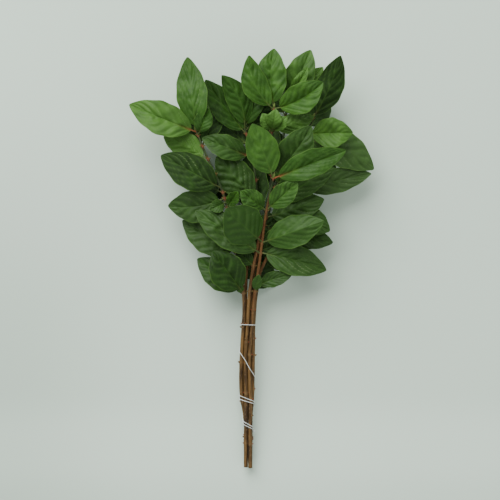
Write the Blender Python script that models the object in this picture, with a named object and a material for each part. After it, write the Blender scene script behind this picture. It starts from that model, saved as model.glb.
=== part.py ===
"""A tied bunch of cut viburnum branches, lying on a surface.

Six leafy stems run together as a bundle, fan out above it and carry opposite leaves. Each stem is
one solid with its leaves. A length of twine is wound round the bare part of the bundle.

The bunch lies along +Y with its cut ends at low Y, and rests on z = 0 with its front side up. The
layout is in millimetres, with y along the bunch from the cut ends.
"""

import math
from collections import namedtuple

import bpy
import numpy as np

MM = 0.001
MIDDLE = (4.5, 249.7)
UNLIKE_ANY_TUBE = (0.3, 0.5, 0.8)  # a direction that no tube runs along

# Stems
STEM_SIDES = 7
STEM_STEP = 21.0
CUT_DIAMETER = 4.9
TIP_DIAMETER = 2.3
BUNDLE_HEIGHT = 6.95
BUNDLE_TILT = 0.125
BUNDLE_GAP = 0.4

# Leaves
BLADE_THICKNESS = 0.7
PETIOLE_LENGTH = 7.0
PETIOLE_SHARE = 0.12  # of a small leaf's length
PETIOLE_WIDTH = 1.9
PETIOLE_THICKNESS = 1.7
WIDEST_AT = 0.86
OVAL_POWERS = (0.66, 0.1)  # how blunt a leaf's outline is at its base, and what the tip adds
EDGE_WAVE = 1.1
LEAF_CLEAR = 2.6
STEM_CLEAR = 1.6
TILT_GIVE = 0.004  # how easily a leaf tilts or twists out of the way, where it moves up or down with 1
OVERSHOOT = 1.5
RETURN = 0.01  # how strongly a leaf is drawn back to where it would lie alone
LOWEST_MIDDLE = -0.9  # a leaf's middle surface may dip this low, where its underside is pressed flat
BLADE_ROWS = (0.1, 0.28, 0.5, 0.72, 0.89)
PETIOLE_END = 0.8  # the share of the petiole that keeps its round section
BLADE_COLUMNS = (-1.0, -0.5, 0.0, 0.5, 1.0)

# Twine
TWINE_DIAMETER = 1.1
TWINE_SIDES = 6
TWINE_CLEAR = 0.5
TWINE_STEP = 0.05
KNOT_RADIUS = 1.5
KNOT_OUTWARD = 0.8

# A stem's route as (x, y, z). In the bundle z is measured from the bundle's middle line, which
# rises from the cut ends. On the branch above the neck it is the height over the surface.
Route = namedtuple("Route", "bundle branch")
ROUTES = {
    "left": Route(
        [(-2.5, 3, 0), (-2.5, 57, 0.3), (-7, 82, 1), (-7.7, 135, 1.6), (-5.6, 172, 1.9), (-4.8, 202, 1.5)],
        [(-12, 249, 40), (-21, 295, 46), (-31, 333, 50), (-48, 370, 52), (-62, 404, 51)],
    ),
    "front": Route(
        [(2.5, -1.5, 4.9), (2.5, 57, 4.7), (2.6, 82, 3.6), (1.9, 135, 2.2), (4.9, 172, 1.9), (7.4, 202, 1.5)],
        [(11.7, 233, 41), (16.7, 269, 47), (22, 308, 62), (30.4, 347, 74)],
    ),
    "centre": Route(
        [(-2.4, -0.5, 4.9), (-2.4, 57, 4.6), (-2, 82, 3.6), (-3, 135, 2.2), (-0.4, 172, 2.8), (1, 202, 2.6)],
        [(5.5, 235, 40), (11.7, 267, 45), (24, 320, 51), (29, 362, 57), (28.5, 402, 60), (31, 431, 61)],
    ),
    "top": Route(
        [(2.4, 6, -4.9), (2.4, 57, -4.5), (0.8, 82, -3), (0.2, 135, -2.3), (1.6, 172, -2.6), (4.2, 202, -2.8)],
        [(7, 233, 33), (15, 275, 33), (31, 330, 36), (41, 385, 40), (47, 437, 42)],
    ),
    "back": Route(
        [(-2.4, 9, -4.9), (-2.5, 57, -4.5), (-5, 82, -3), (-5, 135, -2), (-4, 172, -3), (-3, 202, -3)],
        [(-2, 233, 33), (1, 275, 34), (10, 322, 34), (6, 368, 36), (-4, 407, 37)],
    ),
    "right": Route(
        [(2.5, 4, 0), (2.6, 57, 0), (4.8, 82, -1.0), (6.2, 135, -0.6), (6.9, 172, -2.0), (9.2, 202, -2.6)],
        [(14, 233, 34), (34, 273, 38), (62, 333, 43), (69, 370, 45), (70, 400, 46), (78, 420, 47)],
    ),
}

# One leaf: the y at which its petiole leaves the stem, its tip in plan, the height of its middle and
# of its tip, its width, and how much it tilts, folds up at the margins and bends to the side.
Leaf = namedtuple("Leaf", "station x y middle tip width tilt fold bend", defaults=(0.0, 0.2, 0.0))
LEAVES = {
    "left": [
        Leaf(402, -142, 435, 62, 48, 40, 0.1, 0.33, 1),
        Leaf(403, -72, 491, 66, 62, 37, 0.0, -0.15),
        Leaf(398, -47, 430, 63, 72, 22, 0.2, 0.35),
        Leaf(370, -101, 397, 50, 44, 31, -0.1, -0.2, -2),
        Leaf(335, -104, 374, 64, 56, 43, 0.1, 0.2),
        Leaf(323, -96, 314, 48, 36, 40, -0.2, 0.15, 5),
        Leaf(318, -45, 309, 64, 60, 16, 0.1, 0.3),
        Leaf(312, -12, 331, 60, 68, 15),
        Leaf(257, -79, 297, 38, 26, 42, -0.1, 0.2),
        Leaf(209, -42, 260, 52, 56, 43, 0.1, 0.3),
        Leaf(211, -61, 251, 36, 26, 36, 0.0, 0.25),
        Leaf(210, -13, 219, 39, 42, 9),
        Leaf(385, -95, 408, 28, 12, 34, 0.3),
        Leaf(385, -38, 448, 32, 18, 34, -0.3),
        Leaf(352, -84, 362, 30, 10, 34, 0.4),
        Leaf(330, -73, 348, 12, -3, 38, 0.0, 0.0),
        Leaf(290, -62, 300, 24, 4, 36, -0.3),
        Leaf(244, -50, 238, 22, 6, 38, 0.3),
        Leaf(385, -70, 431, 40, 28, 32, 0.2),
    ],
    "front": [
        Leaf(346, 5, 410, 92, 100, 39, 0.0, -0.2),
        Leaf(346, 116, 379, 90, 84, 33, 0.1, 0.35),
        Leaf(308, -9, 331, 74, 80, 25, 0.1, 0.3),
        Leaf(309, 59, 342, 76, 84, 27, -0.1, 0.3),
        Leaf(270, 90, 296, 74, 78, 38, -0.1, -0.33),
        Leaf(271, -26, 310, 78, 100, 51, 0.0, -0.15, 1),
        Leaf(258, 94, 237, 48, 40, 37, 0.1, 0.2, 2),
        Leaf(257, -63, 308, 62, 60, 38, 0.0, 0.15),
        Leaf(218, 52, 231, 44, 46, 19, 0.0, 0.2, 2),
        Leaf(211, 13, 232, 46, 54, 12),
    ],
    "centre": [
        Leaf(262, -31, 276, 54, 58, 24, 0.0, -0.3),
        Leaf(242, -14, 262, 46, 50, 18),
        Leaf(402, 17, 423, 74, 76, 17),
        Leaf(402, 33, 428, 77, 80, 18),
        Leaf(402, 46, 419, 74, 76, 16),
        Leaf(428, 1, 492, 74, 76, 31, 0.0, -0.35, 8),
        Leaf(430, 31, 501, 66, 62, 38, 0.0, 0.2, 4),
        Leaf(429, 89, 460, 76, 80, 36, 0.0, 0.42, -5),
        Leaf(350, 75, 408, 74, 82, 40, 0.2, 0.2, -4),
        Leaf(404, 79, 420, 62, 60, 24, 0.0, -0.2),
        Leaf(258, 58, 281, 40, 34, 34, 0.3),
    ],
    "top": [
        Leaf(436, 75, 500, 54, 52, 35, 0.0, 0.25),
        Leaf(437, 71, 478, 62, 66, 15, 0.0, 0.4),
        Leaf(434, 90, 480, 46, 42, 26),
        Leaf(317, 103, 359, 58, 66, 29, -0.1, -0.2),
        Leaf(300, 91, 322, 46, 50, 36, -0.1, -0.2),
        Leaf(336, 62, 382, 44, 50, 32, -0.2),
        Leaf(420, 18, 484, 28, 16, 34, 0.3),
        Leaf(420, 96, 452, 28, 14, 34, -0.3),
        Leaf(370, 98, 400, 9, -3, 36, 0.0, 0.0),
        Leaf(370, -4, 432, 24, 4, 38, 0.3),
        Leaf(320, 84, 298, 20, 2, 34, 0.3),
        Leaf(290, 66, 272, 26, 8, 34, -0.3),
        Leaf(265, 62, 246, 18, 2, 36, 0.3),
        Leaf(262, -12, 226, 15, 6, 34, 0.2),
        Leaf(350, 54, 310, 22, 6, 38, 0.2),
        Leaf(350, 30, 409, 22, 6, 36, 0.2),
    ],
    "back": [
        Leaf(400, -51, 464, 45, 58, 33, 0.0, 0.2, 1),
        Leaf(406, -31, 469, 56, 68, 31, 0.0, -0.4, -8),
        Leaf(372, -55, 395, 54, 52, 29, 0.15, 0.25),
        Leaf(321, -38, 373, 44, 48, 42, 0.0, -0.2),
        Leaf(406, 13, 466, 46, 44, 28, 0.0, 0.3),
        Leaf(385, -42, 424, 24, 10, 38, 0.4),
        Leaf(345, -45, 330, 10, 2, 34, -0.2),
        Leaf(345, 44, 372, 7, 4, 34, 0.3),
        Leaf(285, -48, 268, 18, 2, 34, 0.2),
        Leaf(285, 45, 297, 22, 8, 28, -0.2),
        Leaf(300, 3, 380, 18, 4, 40, -0.2),
        Leaf(240, 34, 222, 18, 4, 34, 0.3),
        Leaf(282, 20, 234, 14, 6, 38, 0.2),
        Leaf(404, 34, 447, 26, 12, 36, 0.2),
    ],
    "right": [
        Leaf(418, 110, 492, 56, 70, 34, 0.0, -0.2, -3),
        Leaf(400, 125, 401, 60, 58, 36, 0.0, 0.38),
        Leaf(392, 151, 358, 46, 36, 44, 0.0, -0.2, 8),
        Leaf(333, 148, 353, 42, 34, 30, 0.1, 0.2, 1),
        Leaf(309, 98, 284, 46, 42, 32, 0.2, 0.2),
        Leaf(280, 102, 270, 38, 30, 29, -0.1, 0.2, 2),
        Leaf(405, 97, 446, 30, 12, 28, 0.3),
        Leaf(360, 110, 340, 26, 8, 44, -0.3),
    ],
}

# The twine's way round the bundle: (turns, y), where whole turns are at the right, then going
# down by quarters the back, the left and the front. It starts with a closed ring under the leaves.
TWINE_DOWN = [
    (-0.25, 172.4),
    (-1.25, 170.8),
    (-1.5, 142.6),
    (-2.0, 107.5),
    (-2.5, 87.0),
    (-3.0, 78.0),
    (-3.5, 59.5),
    (-4.0, 44.0),
    (-4.6, 32.0),
]
TWINE_BACK = [(-4.0, 41.6), (-3.5, 55.6), (-3.0, 75.4), (-2.5, 82.3), (-2.4, 89.8)]
KNOTS = [(-0.25, 171.6), (-4.0, 42.8), (-2.4, 90.8)]


def stem_ends(name):
    """The y of the stem's cut end and of its tip."""
    return ROUTES[name].bundle[0][1], ROUTES[name].branch[-1][1]


def stem_radius(name, y):
    """The stem's radius at y: it thins from its cut end to its tip."""
    start, end = stem_ends(name)
    share = min(max((y - start) / (end - start), 0.0), 1.0)
    return 0.5 * (CUT_DIAMETER + (TIP_DIAMETER - CUT_DIAMETER) * share**1.5)


def route_point(name, y):
    """Where the stem's route passes y, as (x, z): a smooth curve through its points."""
    route = ROUTES[name]
    keys = [(py, px, BUNDLE_HEIGHT + BUNDLE_TILT * py + pz) for px, py, pz in route.bundle]
    keys += [(py, px, pz) for px, py, pz in route.branch]
    keys = np.array(keys, float)
    slopes = np.gradient(keys[:, 1:], keys[:, 0], axis=0)
    y = min(max(y, keys[0, 0]), keys[-1, 0])
    i = min(int(np.searchsorted(keys[:, 0], y, side="right")) - 1, len(keys) - 2)
    span = keys[i + 1, 0] - keys[i, 0]
    t = (y - keys[i, 0]) / span
    return (
        (1 + 2 * t) * (1 - t) ** 2 * keys[i, 1:]
        + t * (1 - t) ** 2 * span * slopes[i]
        + t * t * (3 - 2 * t) * keys[i + 1, 1:]
        + t * t * (t - 1) * span * slopes[i + 1]
    )


def stems_at(y):
    """Every stem's centre at y as (x, z), with stems that would touch pushed apart."""
    names = list(ROUTES)
    centres = np.array([route_point(name, y) for name in names])
    radii = [stem_radius(name, y) for name in names]
    for _ in range(60):
        for i in range(len(names)):
            for j in range(i):
                apart = centres[i] - centres[j]
                distance = np.linalg.norm(apart)
                short = radii[i] + radii[j] + BUNDLE_GAP - distance
                if short > 0:
                    centres[i] += 0.5 * short * apart / distance
                    centres[j] -= 0.5 * short * apart / distance
    return dict(zip(names, centres))


def stem_line(name):
    """The stem's centre line from its cut end to its tip, as rows of (x, y, z)."""
    start, end = stem_ends(name)
    first = STEM_STEP * math.ceil((start + 6) / STEM_STEP)
    rows = []
    for y in [start, *np.arange(first, end - 6, STEM_STEP), end]:
        x, z = stems_at(y)[name]
        rows.append((x, y, z))
    return np.array(rows)


def point_on(line, y):
    """The point of a stem's centre line at y."""
    return np.array([np.interp(y, line[:, 1], line[:, 0]), y, np.interp(y, line[:, 1], line[:, 2])])


class Blade:
    """A leaf laid out in plan, whose height follows a few numbers.

    t runs from the stem's middle line to the tip, and v from one margin to the other, -1 to 1.
    shape holds the heights at a third, two thirds and all of the length, the tilt and the twist.
    """

    def __init__(self, stem, leaf, line):
        self.stem = stem
        self.leaf = leaf
        self.base = point_on(line, leaf.station)
        reach = np.array([leaf.x, leaf.y]) - self.base[:2]
        self.length = float(np.linalg.norm(reach))
        self.along = reach / self.length
        self.across = np.array([-self.along[1], self.along[0]])
        self.start = min(PETIOLE_LENGTH / self.length, PETIOLE_SHARE)
        rise = leaf.middle - 0.5 * (self.base[2] + leaf.tip)
        t = np.array([1 / 3, 2 / 3])
        thirds = self.base[2] + (leaf.tip - self.base[2]) * t + 4 * rise * t * (1 - t)
        self.shape = np.array([*thirds, leaf.tip, leaf.tilt, 0.0])
        self.phase = 0.7 * leaf.x + 0.4 * leaf.y

    def along_blade(self, t):
        """The share of the blade that lies before t, 0 on the petiole and 1 at the tip."""
        return np.clip((t - self.start) / (1 - self.start), 0.0, 1.0)

    def half_width(self, t):
        """Half of the plan width: the petiole's, then a pointed oval's, widest below its middle."""
        s = self.along_blade(t)
        oval = np.sin(math.pi * s**WIDEST_AT) ** (OVAL_POWERS[0] + OVAL_POWERS[1] * s)
        return np.maximum(0.5 * self.leaf.width * oval, 0.5 * PETIOLE_WIDTH * (1 - s))

    def plan(self, t, v):
        """The plan position (x, y) of (t, v)."""
        aside = self.leaf.bend * 4 * t * (1 - t) + v * self.half_width(t)
        return self.base[:2] + (self.length * t)[:, None] * self.along + aside[:, None] * self.across

    def from_plan(self, points):
        """The (t, v) of plan positions."""
        offset = points - self.base[:2]
        t = offset @ self.along / self.length
        aside = offset @ self.across - self.leaf.bend * 4 * t * (1 - t)
        return t, aside / (self.half_width(t) + 1e-6)

    def weights(self, t, v):
        """How much each number of shape adds to the height at (t, v)."""
        side = v * self.half_width(t)
        return np.stack(
            [
                13.5 * t * (t - 2 / 3) * (t - 1),
                -13.5 * t * (t - 1 / 3) * (t - 1),
                4.5 * t * (t - 1 / 3) * (t - 2 / 3),
                side,
                side * (2 * t - 1),
            ],
            axis=-1,
        )

    def fixed_height(self, t, v):
        """The rest of the height: the base, the fold and the wavy margin."""
        s = self.along_blade(t)
        base = self.base[2] * -4.5 * (t - 1 / 3) * (t - 2 / 3) * (t - 1)
        fold = self.leaf.fold * np.abs(v) * self.half_width(t)
        wave = EDGE_WAVE * v * v * np.sin(math.pi * s) * np.sin(10.0 * s + self.phase + 1.6 * v)
        return base + fold + wave

    def surface(self, t, v):
        """Points of the leaf's middle surface."""
        height = self.fixed_height(t, v) + self.weights(t, v) @ self.shape
        return np.concatenate([self.plan(t, v), height[:, None]], axis=1)


def blade_samples():
    """The (t, v) at which a leaf is tested against its neighbours."""
    t, v = np.meshgrid(np.linspace(0.0, 1.0, 13), np.linspace(-1.0, 1.0, 5), indexing="ij")
    return t.ravel(), v.ravel()


def where_over(upper, lower):
    """The places where one leaf lies over another in plan, as rows of (t, v) on each."""
    own = np.stack(blade_samples(), axis=1)
    first = np.concatenate([own, np.stack(upper.from_plan(lower.plan(*own.T)), axis=1)])
    second = np.concatenate([np.stack(lower.from_plan(upper.plan(*own.T)), axis=1), own])
    kept = np.ones(len(first), bool)
    for t, v in (first.T, second.T):
        kept &= (t >= 0) & (t <= 1) & (np.abs(v) <= 1.001)
    if upper.stem == lower.stem:
        kept &= (first[:, 0] > 0.25) & (second[:, 0] > 0.25)
    return first[kept], second[kept]


def near_stem(blade, name, line):
    """Where a stem passes a leaf in plan: (t, v) on the leaf, and the stem's height and radius there."""
    dense = np.array([point_on(line, y) for y in np.arange(line[0, 1], line[-1, 1], 3.0)])
    radius = np.array([stem_radius(name, y) for y in dense[:, 1]])
    t, v = blade.from_plan(dense[:, :2])
    first = 0.22 if name == blade.stem else 0.0
    near = (t > first) & (t < 1) & (np.abs(v) < 1 + radius / (blade.half_width(t) + 0.1))
    return t[near], np.clip(v[near], -1, 1), dense[near, 2], radius[near]


def clearances(blades, lines):
    """Every clearance that has to hold, as arrays: the upper and the lower leaf's index, their
    weights, and the least difference of the heights that their numbers make. One past the last
    leaf's index stands for what can't move: the surface and the stems."""
    fixed = len(blades)
    rows = []
    t, v = blade_samples()
    for i, upper in enumerate(blades):
        weights = upper.weights(t, v)
        rows.append((i, fixed, weights, 0 * weights, LOWEST_MIDDLE - upper.fixed_height(t, v)))
        for j in range(i + 1, len(blades)):
            lower = blades[j]
            on_upper, on_lower = where_over(upper, lower)
            least = LEAF_CLEAR - upper.fixed_height(*on_upper.T) + lower.fixed_height(*on_lower.T)
            rows.append((i, j, upper.weights(*on_upper.T), lower.weights(*on_lower.T), least))
        for name, line in lines.items():
            at, across, height, radius = near_stem(upper, name, line)
            weights, still = upper.weights(at, across), upper.fixed_height(at, across)
            if len(at) and upper.leaf.middle > height.mean():
                rows.append((i, fixed, weights, 0 * weights, height + radius + STEM_CLEAR - still))
            elif len(at):
                rows.append((fixed, i, 0 * weights, weights, still + radius + STEM_CLEAR - height))
    upper_index = np.concatenate([np.full(len(row[4]), row[0]) for row in rows])
    lower_index = np.concatenate([np.full(len(row[4]), row[1]) for row in rows])
    return (upper_index, lower_index, *(np.concatenate([row[k] for row in rows]) for k in (2, 3, 4)))


def bend_clear(blades, lines, rounds=900):
    """Bends the leaves up and down until each lies clear of the leaves, the stems and the surface."""
    blades = sorted(blades, key=lambda blade: -blade.leaf.middle)
    upper, lower, upper_weights, lower_weights, least = clearances(blades, lines)
    give = np.array([1.0, 1.0, 1.0, TILT_GIVE, TILT_GIVE])
    squares = (upper_weights**2 * give).sum(axis=1) + (lower_weights**2 * give).sum(axis=1)
    shapes = np.array([blade.shape for blade in blades] + [np.zeros(5)])
    wanted = shapes.copy()
    for turn in range(rounds):
        apart = (upper_weights * shapes[upper]).sum(axis=1) - (lower_weights * shapes[lower]).sum(axis=1)
        hit = least > apart
        if not hit.any():
            break
        push = ((least - apart)[hit] / squares[hit])[:, None] * give
        change = np.zeros_like(shapes)
        count = np.zeros(len(shapes))
        np.add.at(change, upper[hit], push * upper_weights[hit])
        np.add.at(change, lower[hit], -push * lower_weights[hit])
        np.add.at(count, upper[hit], 1)
        np.add.at(count, lower[hit], 1)
        change[-1] = 0
        shapes += OVERSHOOT * change / np.maximum(count, 1)[:, None]
        if turn < rounds // 2:
            shapes += RETURN * (wanted - shapes)
    for blade, shape in zip(blades, shapes):
        blade.shape = shape


def twine_point(lines, turns, y, outward=0.0):
    """A point of the twine's middle line at y, on the hull of the stems, some turns round their middle."""
    centres = {name: point_on(line, y)[[0, 2]] for name, line in lines.items()}
    middle = np.mean(list(centres.values()), axis=0)
    loop = []
    for angle in np.radians(np.arange(0, 360, 10)):
        out = np.array([math.cos(angle), math.sin(angle)])
        name = max(centres, key=lambda stem: centres[stem] @ out + stem_radius(stem, y))
        reach = stem_radius(name, y) + TWINE_CLEAR + 0.5 * TWINE_DIAMETER + outward
        loop.append(centres[name] + reach * out - middle)
    loop = np.array(loop)
    around = np.arctan2(loop[:, 1], loop[:, 0]) / (2 * math.pi)
    x, z = (np.interp(turns, around, loop[:, k], period=1.0) for k in (0, 1))
    return np.array([middle[0] + x, y, middle[1] + z])


def twine_line(lines, keys):
    """The twine's middle line through its keys."""
    turns = np.array([key[0] for key in keys])
    heights = np.array([key[1] for key in keys])
    order = np.argsort(turns)
    count = round(abs(turns[-1] - turns[0]) / TWINE_STEP)
    path = np.linspace(turns[0], turns[-1], count + 1)
    levels = np.interp(path, turns[order], heights[order])
    return np.array([twine_point(lines, turn, level) for turn, level in zip(path, levels)])


def placed(points):
    """Layout points in millimetres as model points in metres."""
    return (np.asarray(points) - (*MIDDLE, 0.0)) * MM


def make_material(name, colour, roughness):
    material = bpy.data.materials.new(name)
    material.use_nodes = True
    shader = material.node_tree.nodes["Principled BSDF"]
    shader.inputs["Base Color"].default_value = (*colour, 1.0)
    shader.inputs["Roughness"].default_value = roughness
    shader.inputs["Metallic"].default_value = 0.0
    return material


def make_object(name, points, faces, material, smooth=True):
    mesh = bpy.data.meshes.new(name)
    mesh.from_pydata(placed(points).tolist(), [], faces)
    mesh.materials.append(material)
    if smooth:
        mesh.shade_smooth()
    obj = bpy.data.objects.new(name, mesh)
    bpy.context.scene.collection.objects.link(obj)
    return obj


def tube(name, line, radii, sides, material):
    """A closed round tube along a line, with flat ends."""
    line = np.asarray(line)
    tangents = np.gradient(line, axis=0)
    tangents /= np.linalg.norm(tangents, axis=1)[:, None]
    normal = np.cross(tangents[0], UNLIKE_ANY_TUBE)
    points = []
    for centre, tangent, radius in zip(line, tangents, radii):
        normal = normal - (normal @ tangent) * tangent
        normal /= np.linalg.norm(normal)
        side = np.cross(tangent, normal)
        for k in range(sides):
            angle = 2 * math.pi * k / sides
            points.append(centre + radius * (math.cos(angle) * normal + math.sin(angle) * side))
    faces = [tuple(range(sides))[::-1], tuple(range(len(points) - sides, len(points)))]
    for row in range(len(line) - 1):
        for k in range(sides):
            a, b = row * sides + k, row * sides + (k + 1) % sides
            faces.append((a, b, b + sides, a + sides))
    return make_object(name, points, faces, material)


def blade_solid(blade, material):
    """A leaf with its petiole, split into triangles alike on both faces."""
    on_blade = [blade.start + (1 - blade.start) * s for s in BLADE_ROWS]
    rows = np.array([0.0, PETIOLE_END * blade.start, *on_blade])
    t, v = np.meshgrid(rows, BLADE_COLUMNS, indexing="ij")
    t, v = np.append(t.ravel(), 1.0), np.append(v.ravel(), 0.0)
    middle = blade.surface(t, v)
    small = 1e-3
    ahead = blade.surface(t + small, v) - blade.surface(t - small, v)
    aside = blade.surface(t, v + small) - blade.surface(t, v - small)
    aside[-1] = (*(2 * small * blade.across), 0.0)
    normals = np.cross(ahead, aside)
    normals /= np.linalg.norm(normals, axis=1)[:, None]
    thickness = np.where(t <= blade.start, PETIOLE_THICKNESS, BLADE_THICKNESS)[:, None]
    above = middle + 0.5 * thickness * normals
    below = middle - 0.5 * thickness * normals
    below[:, 2] = np.maximum(below[:, 2], 0.0)
    above[:, 2] = np.maximum(above[:, 2], below[:, 2] + 0.95 * BLADE_THICKNESS)

    wide = len(BLADE_COLUMNS)
    tip = len(rows) * wide
    sheet = []
    for row in range(len(rows) - 1):
        for column in range(wide - 1):
            a = row * wide + column
            corners = (a, a + 1, a + wide + 1, a + wide)
            first = 0 if (column < wide // 2) == (row % 2 == 0) else 1
            turned = corners[first:] + corners[:first]
            sheet += [(turned[0], turned[1], turned[2]), (turned[0], turned[2], turned[3])]
    last = (len(rows) - 1) * wide
    sheet += [(last + column, last + column + 1, tip) for column in range(wide - 1)]
    rim = [row * wide for row in range(len(rows))] + [tip]
    rim += [row * wide + wide - 1 for row in reversed(range(len(rows)))]
    rim += [column for column in range(wide - 2, 0, -1)]
    count = len(middle)
    faces = [tuple(reversed(face)) for face in sheet] + [tuple(k + count for k in face) for face in sheet]
    for a, b in zip(rim, rim[1:] + rim[:1]):
        faces += [(b, a, a + count), (b, a + count, b + count)]
    return make_object("leaf", np.concatenate([above, below]), faces, material, smooth=False)


def fuse(body, pieces):
    """Joins the pieces to the body in one solid, and removes them."""
    group = bpy.data.collections.new("pieces")
    for piece in pieces:
        group.objects.link(piece)
    union = body.modifiers.new("union", "BOOLEAN")
    union.operation = "UNION"
    union.operand_type = "COLLECTION"
    union.collection = group
    union.solver = "EXACT"
    union.material_mode = "TRANSFER"
    bpy.context.view_layer.update()
    joined = bpy.data.meshes.new_from_object(body.evaluated_get(bpy.context.evaluated_depsgraph_get()))
    joined.name = body.name
    body.modifiers.clear()
    body.data = joined
    for piece in pieces:
        bpy.data.objects.remove(piece)
    bpy.data.collections.remove(group)


def build_leafy_stems(lines, bark, leaf_green):
    blades = [Blade(name, leaf, lines[name]) for name, leaves in LEAVES.items() for leaf in leaves]
    bend_clear(blades, lines)
    for name, line in lines.items():
        radii = [stem_radius(name, y) for y in line[:, 1]]
        stem = tube("leafy_stem_" + name, line, radii, STEM_SIDES, bark)
        fuse(stem, [blade_solid(blade, leaf_green) for blade in blades if blade.stem == name])


def build_twine(lines, white):
    down, back = twine_line(lines, TWINE_DOWN), twine_line(lines, TWINE_BACK)
    twine = tube("twine_wrap", down, [0.5 * TWINE_DIAMETER] * len(down), TWINE_SIDES, white)
    pieces = [tube("second", back, [0.5 * TWINE_DIAMETER] * len(back), TWINE_SIDES, white)]
    for turns, y in KNOTS:
        centre = twine_point(lines, turns, y, outward=KNOT_OUTWARD)
        reach = np.linspace(-KNOT_RADIUS, KNOT_RADIUS, 5)
        radii = [max(0.35 * KNOT_RADIUS, math.sqrt(KNOT_RADIUS**2 - step * step)) for step in reach]
        line = [centre + (0, step, 0) for step in reach]
        pieces.append(tube("knot", line, radii, TWINE_SIDES, white))
    fuse(twine, pieces)


def main():
    for obj in list(bpy.data.objects):
        bpy.data.objects.remove(obj)
    lines = {name: stem_line(name) for name in ROUTES}
    build_leafy_stems(
        lines,
        make_material("bark", (0.13, 0.075, 0.03), 0.7),
        make_material("leaf_green", (0.05, 0.13, 0.03), 0.4),
    )
    build_twine(lines, make_material("twine", (0.75, 0.77, 0.72), 0.8))


main()
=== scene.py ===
"""The looks of a tied bunch of cut viburnum branches, lying on a pale surface.

Every node of the frame is replaced by a finer piece with the same layout: stems with bark, leaf
nodes, scars and buds, leaves with sunken veins, puckered blades and round petioles, and a twisted
two-ply twine. The layout is in millimetres, with y along the bunch from the cut ends.
"""

import math
from collections import namedtuple

import bpy
import numpy as np
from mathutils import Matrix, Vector

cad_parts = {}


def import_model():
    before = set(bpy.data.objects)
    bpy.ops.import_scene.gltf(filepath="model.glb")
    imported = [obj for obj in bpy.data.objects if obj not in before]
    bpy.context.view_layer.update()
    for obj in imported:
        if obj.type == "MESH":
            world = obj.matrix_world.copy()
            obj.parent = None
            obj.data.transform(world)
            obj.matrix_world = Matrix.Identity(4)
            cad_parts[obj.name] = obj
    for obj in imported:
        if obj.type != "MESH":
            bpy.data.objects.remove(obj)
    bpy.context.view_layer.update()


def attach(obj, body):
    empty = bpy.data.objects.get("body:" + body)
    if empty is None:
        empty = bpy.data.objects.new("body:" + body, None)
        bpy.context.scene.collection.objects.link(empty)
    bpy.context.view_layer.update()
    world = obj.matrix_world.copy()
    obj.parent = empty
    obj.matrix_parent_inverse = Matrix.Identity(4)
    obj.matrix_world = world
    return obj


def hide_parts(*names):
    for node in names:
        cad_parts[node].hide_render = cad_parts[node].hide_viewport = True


MM = 0.001
MIDDLE = (4.5, 249.7)

# Stems
STEM_STEP = 21.0
LEAST_STEP = 6  # between a stem's end and its next point
CUT_DIAMETER = 4.9
TIP_DIAMETER = 2.3
BUNDLE_HEIGHT = 6.95
BUNDLE_TILT = 0.125
BUNDLE_GAP = 0.4
PUSH_ROUNDS = 60

# Leaves
PETIOLE_LENGTH = 7.0
PETIOLE_SHARE = 0.12  # of a small leaf's length
PETIOLE_WIDTH = 1.9
WIDEST_AT = 0.86
OVAL_POWERS = (0.66, 0.1)  # how blunt a leaf's outline is at its base, and what the tip adds
EDGE_WAVE = 1.1
LEAF_CLEAR = 2.6
STEM_CLEAR = 1.6
TILT_GIVE = 0.004  # how easily a leaf tilts or twists out of the way, where it moves up or down with 1
OVERSHOOT = 1.5
RETURN = 0.01  # how strongly a leaf is drawn back to where it would lie alone
LOWEST_MIDDLE = -0.9  # a leaf's middle surface may dip this low, where its underside is pressed flat
BESIDE_SISTER = 0.25  # leaves of one stem may touch on this share of their length
BESIDE_STEM = 0.22  # a leaf may touch its own stem on this share
STEM_SAMPLES = 3.0

# Twine
TWINE_DIAMETER = 1.1
TWINE_CLEAR = 0.5
TWINE_STEP = 0.05

# A stem's route: the y of its cut end, (x, z) there and at each of the bundle's levels, and
# (x, y, z) on the branch above the neck. In the bundle z is measured from the bundle's middle
# line, which rises from the cut ends. On the branch it is the height over the surface.
BUNDLE_LEVELS = (57, 82, 135, 172, 202)
Route = namedtuple("Route", "start bundle branch")
ROUTES = {
    "left": Route(
        3,
        [(-2.5, 0), (-2.5, 0.3), (-7, 1), (-7.7, 1.6), (-5.6, 1.9), (-4.8, 1.5)],
        [(-12, 249, 40), (-21, 295, 46), (-31, 333, 50), (-48, 370, 52), (-62, 404, 51)],
    ),
    "front": Route(
        -1.5,
        [(2.5, 4.9), (2.5, 4.7), (2.6, 3.6), (1.9, 2.2), (4.9, 1.9), (7.4, 1.5)],
        [(11.7, 233, 41), (16.7, 269, 47), (22, 308, 62), (30.4, 347, 74)],
    ),
    "centre": Route(
        -0.5,
        [(-2.4, 4.9), (-2.4, 4.6), (-2, 3.6), (-3, 2.2), (-0.4, 2.8), (1, 2.6)],
        [(5.5, 235, 40), (11.7, 267, 45), (24, 320, 51), (29, 362, 57), (28.5, 402, 60), (31, 431, 61)],
    ),
    "top": Route(
        6,
        [(2.4, -4.9), (2.4, -4.5), (0.8, -3), (0.2, -2.3), (1.6, -2.6), (4.2, -2.8)],
        [(7, 233, 33), (15, 275, 33), (31, 330, 36), (41, 385, 40), (47, 437, 42)],
    ),
    "back": Route(
        9,
        [(-2.4, -4.9), (-2.5, -4.5), (-5, -3), (-5, -2), (-4, -3), (-3, -3)],
        [(-2, 233, 33), (1, 275, 34), (10, 322, 34), (6, 368, 36), (-4, 407, 37)],
    ),
    "right": Route(
        4,
        [(2.5, 0), (2.6, 0), (4.8, -1.0), (6.2, -0.6), (6.9, -2.0), (9.2, -2.6)],
        [(14, 233, 34), (34, 273, 38), (62, 333, 43), (69, 370, 45), (70, 400, 46), (78, 420, 47)],
    ),
}

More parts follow.
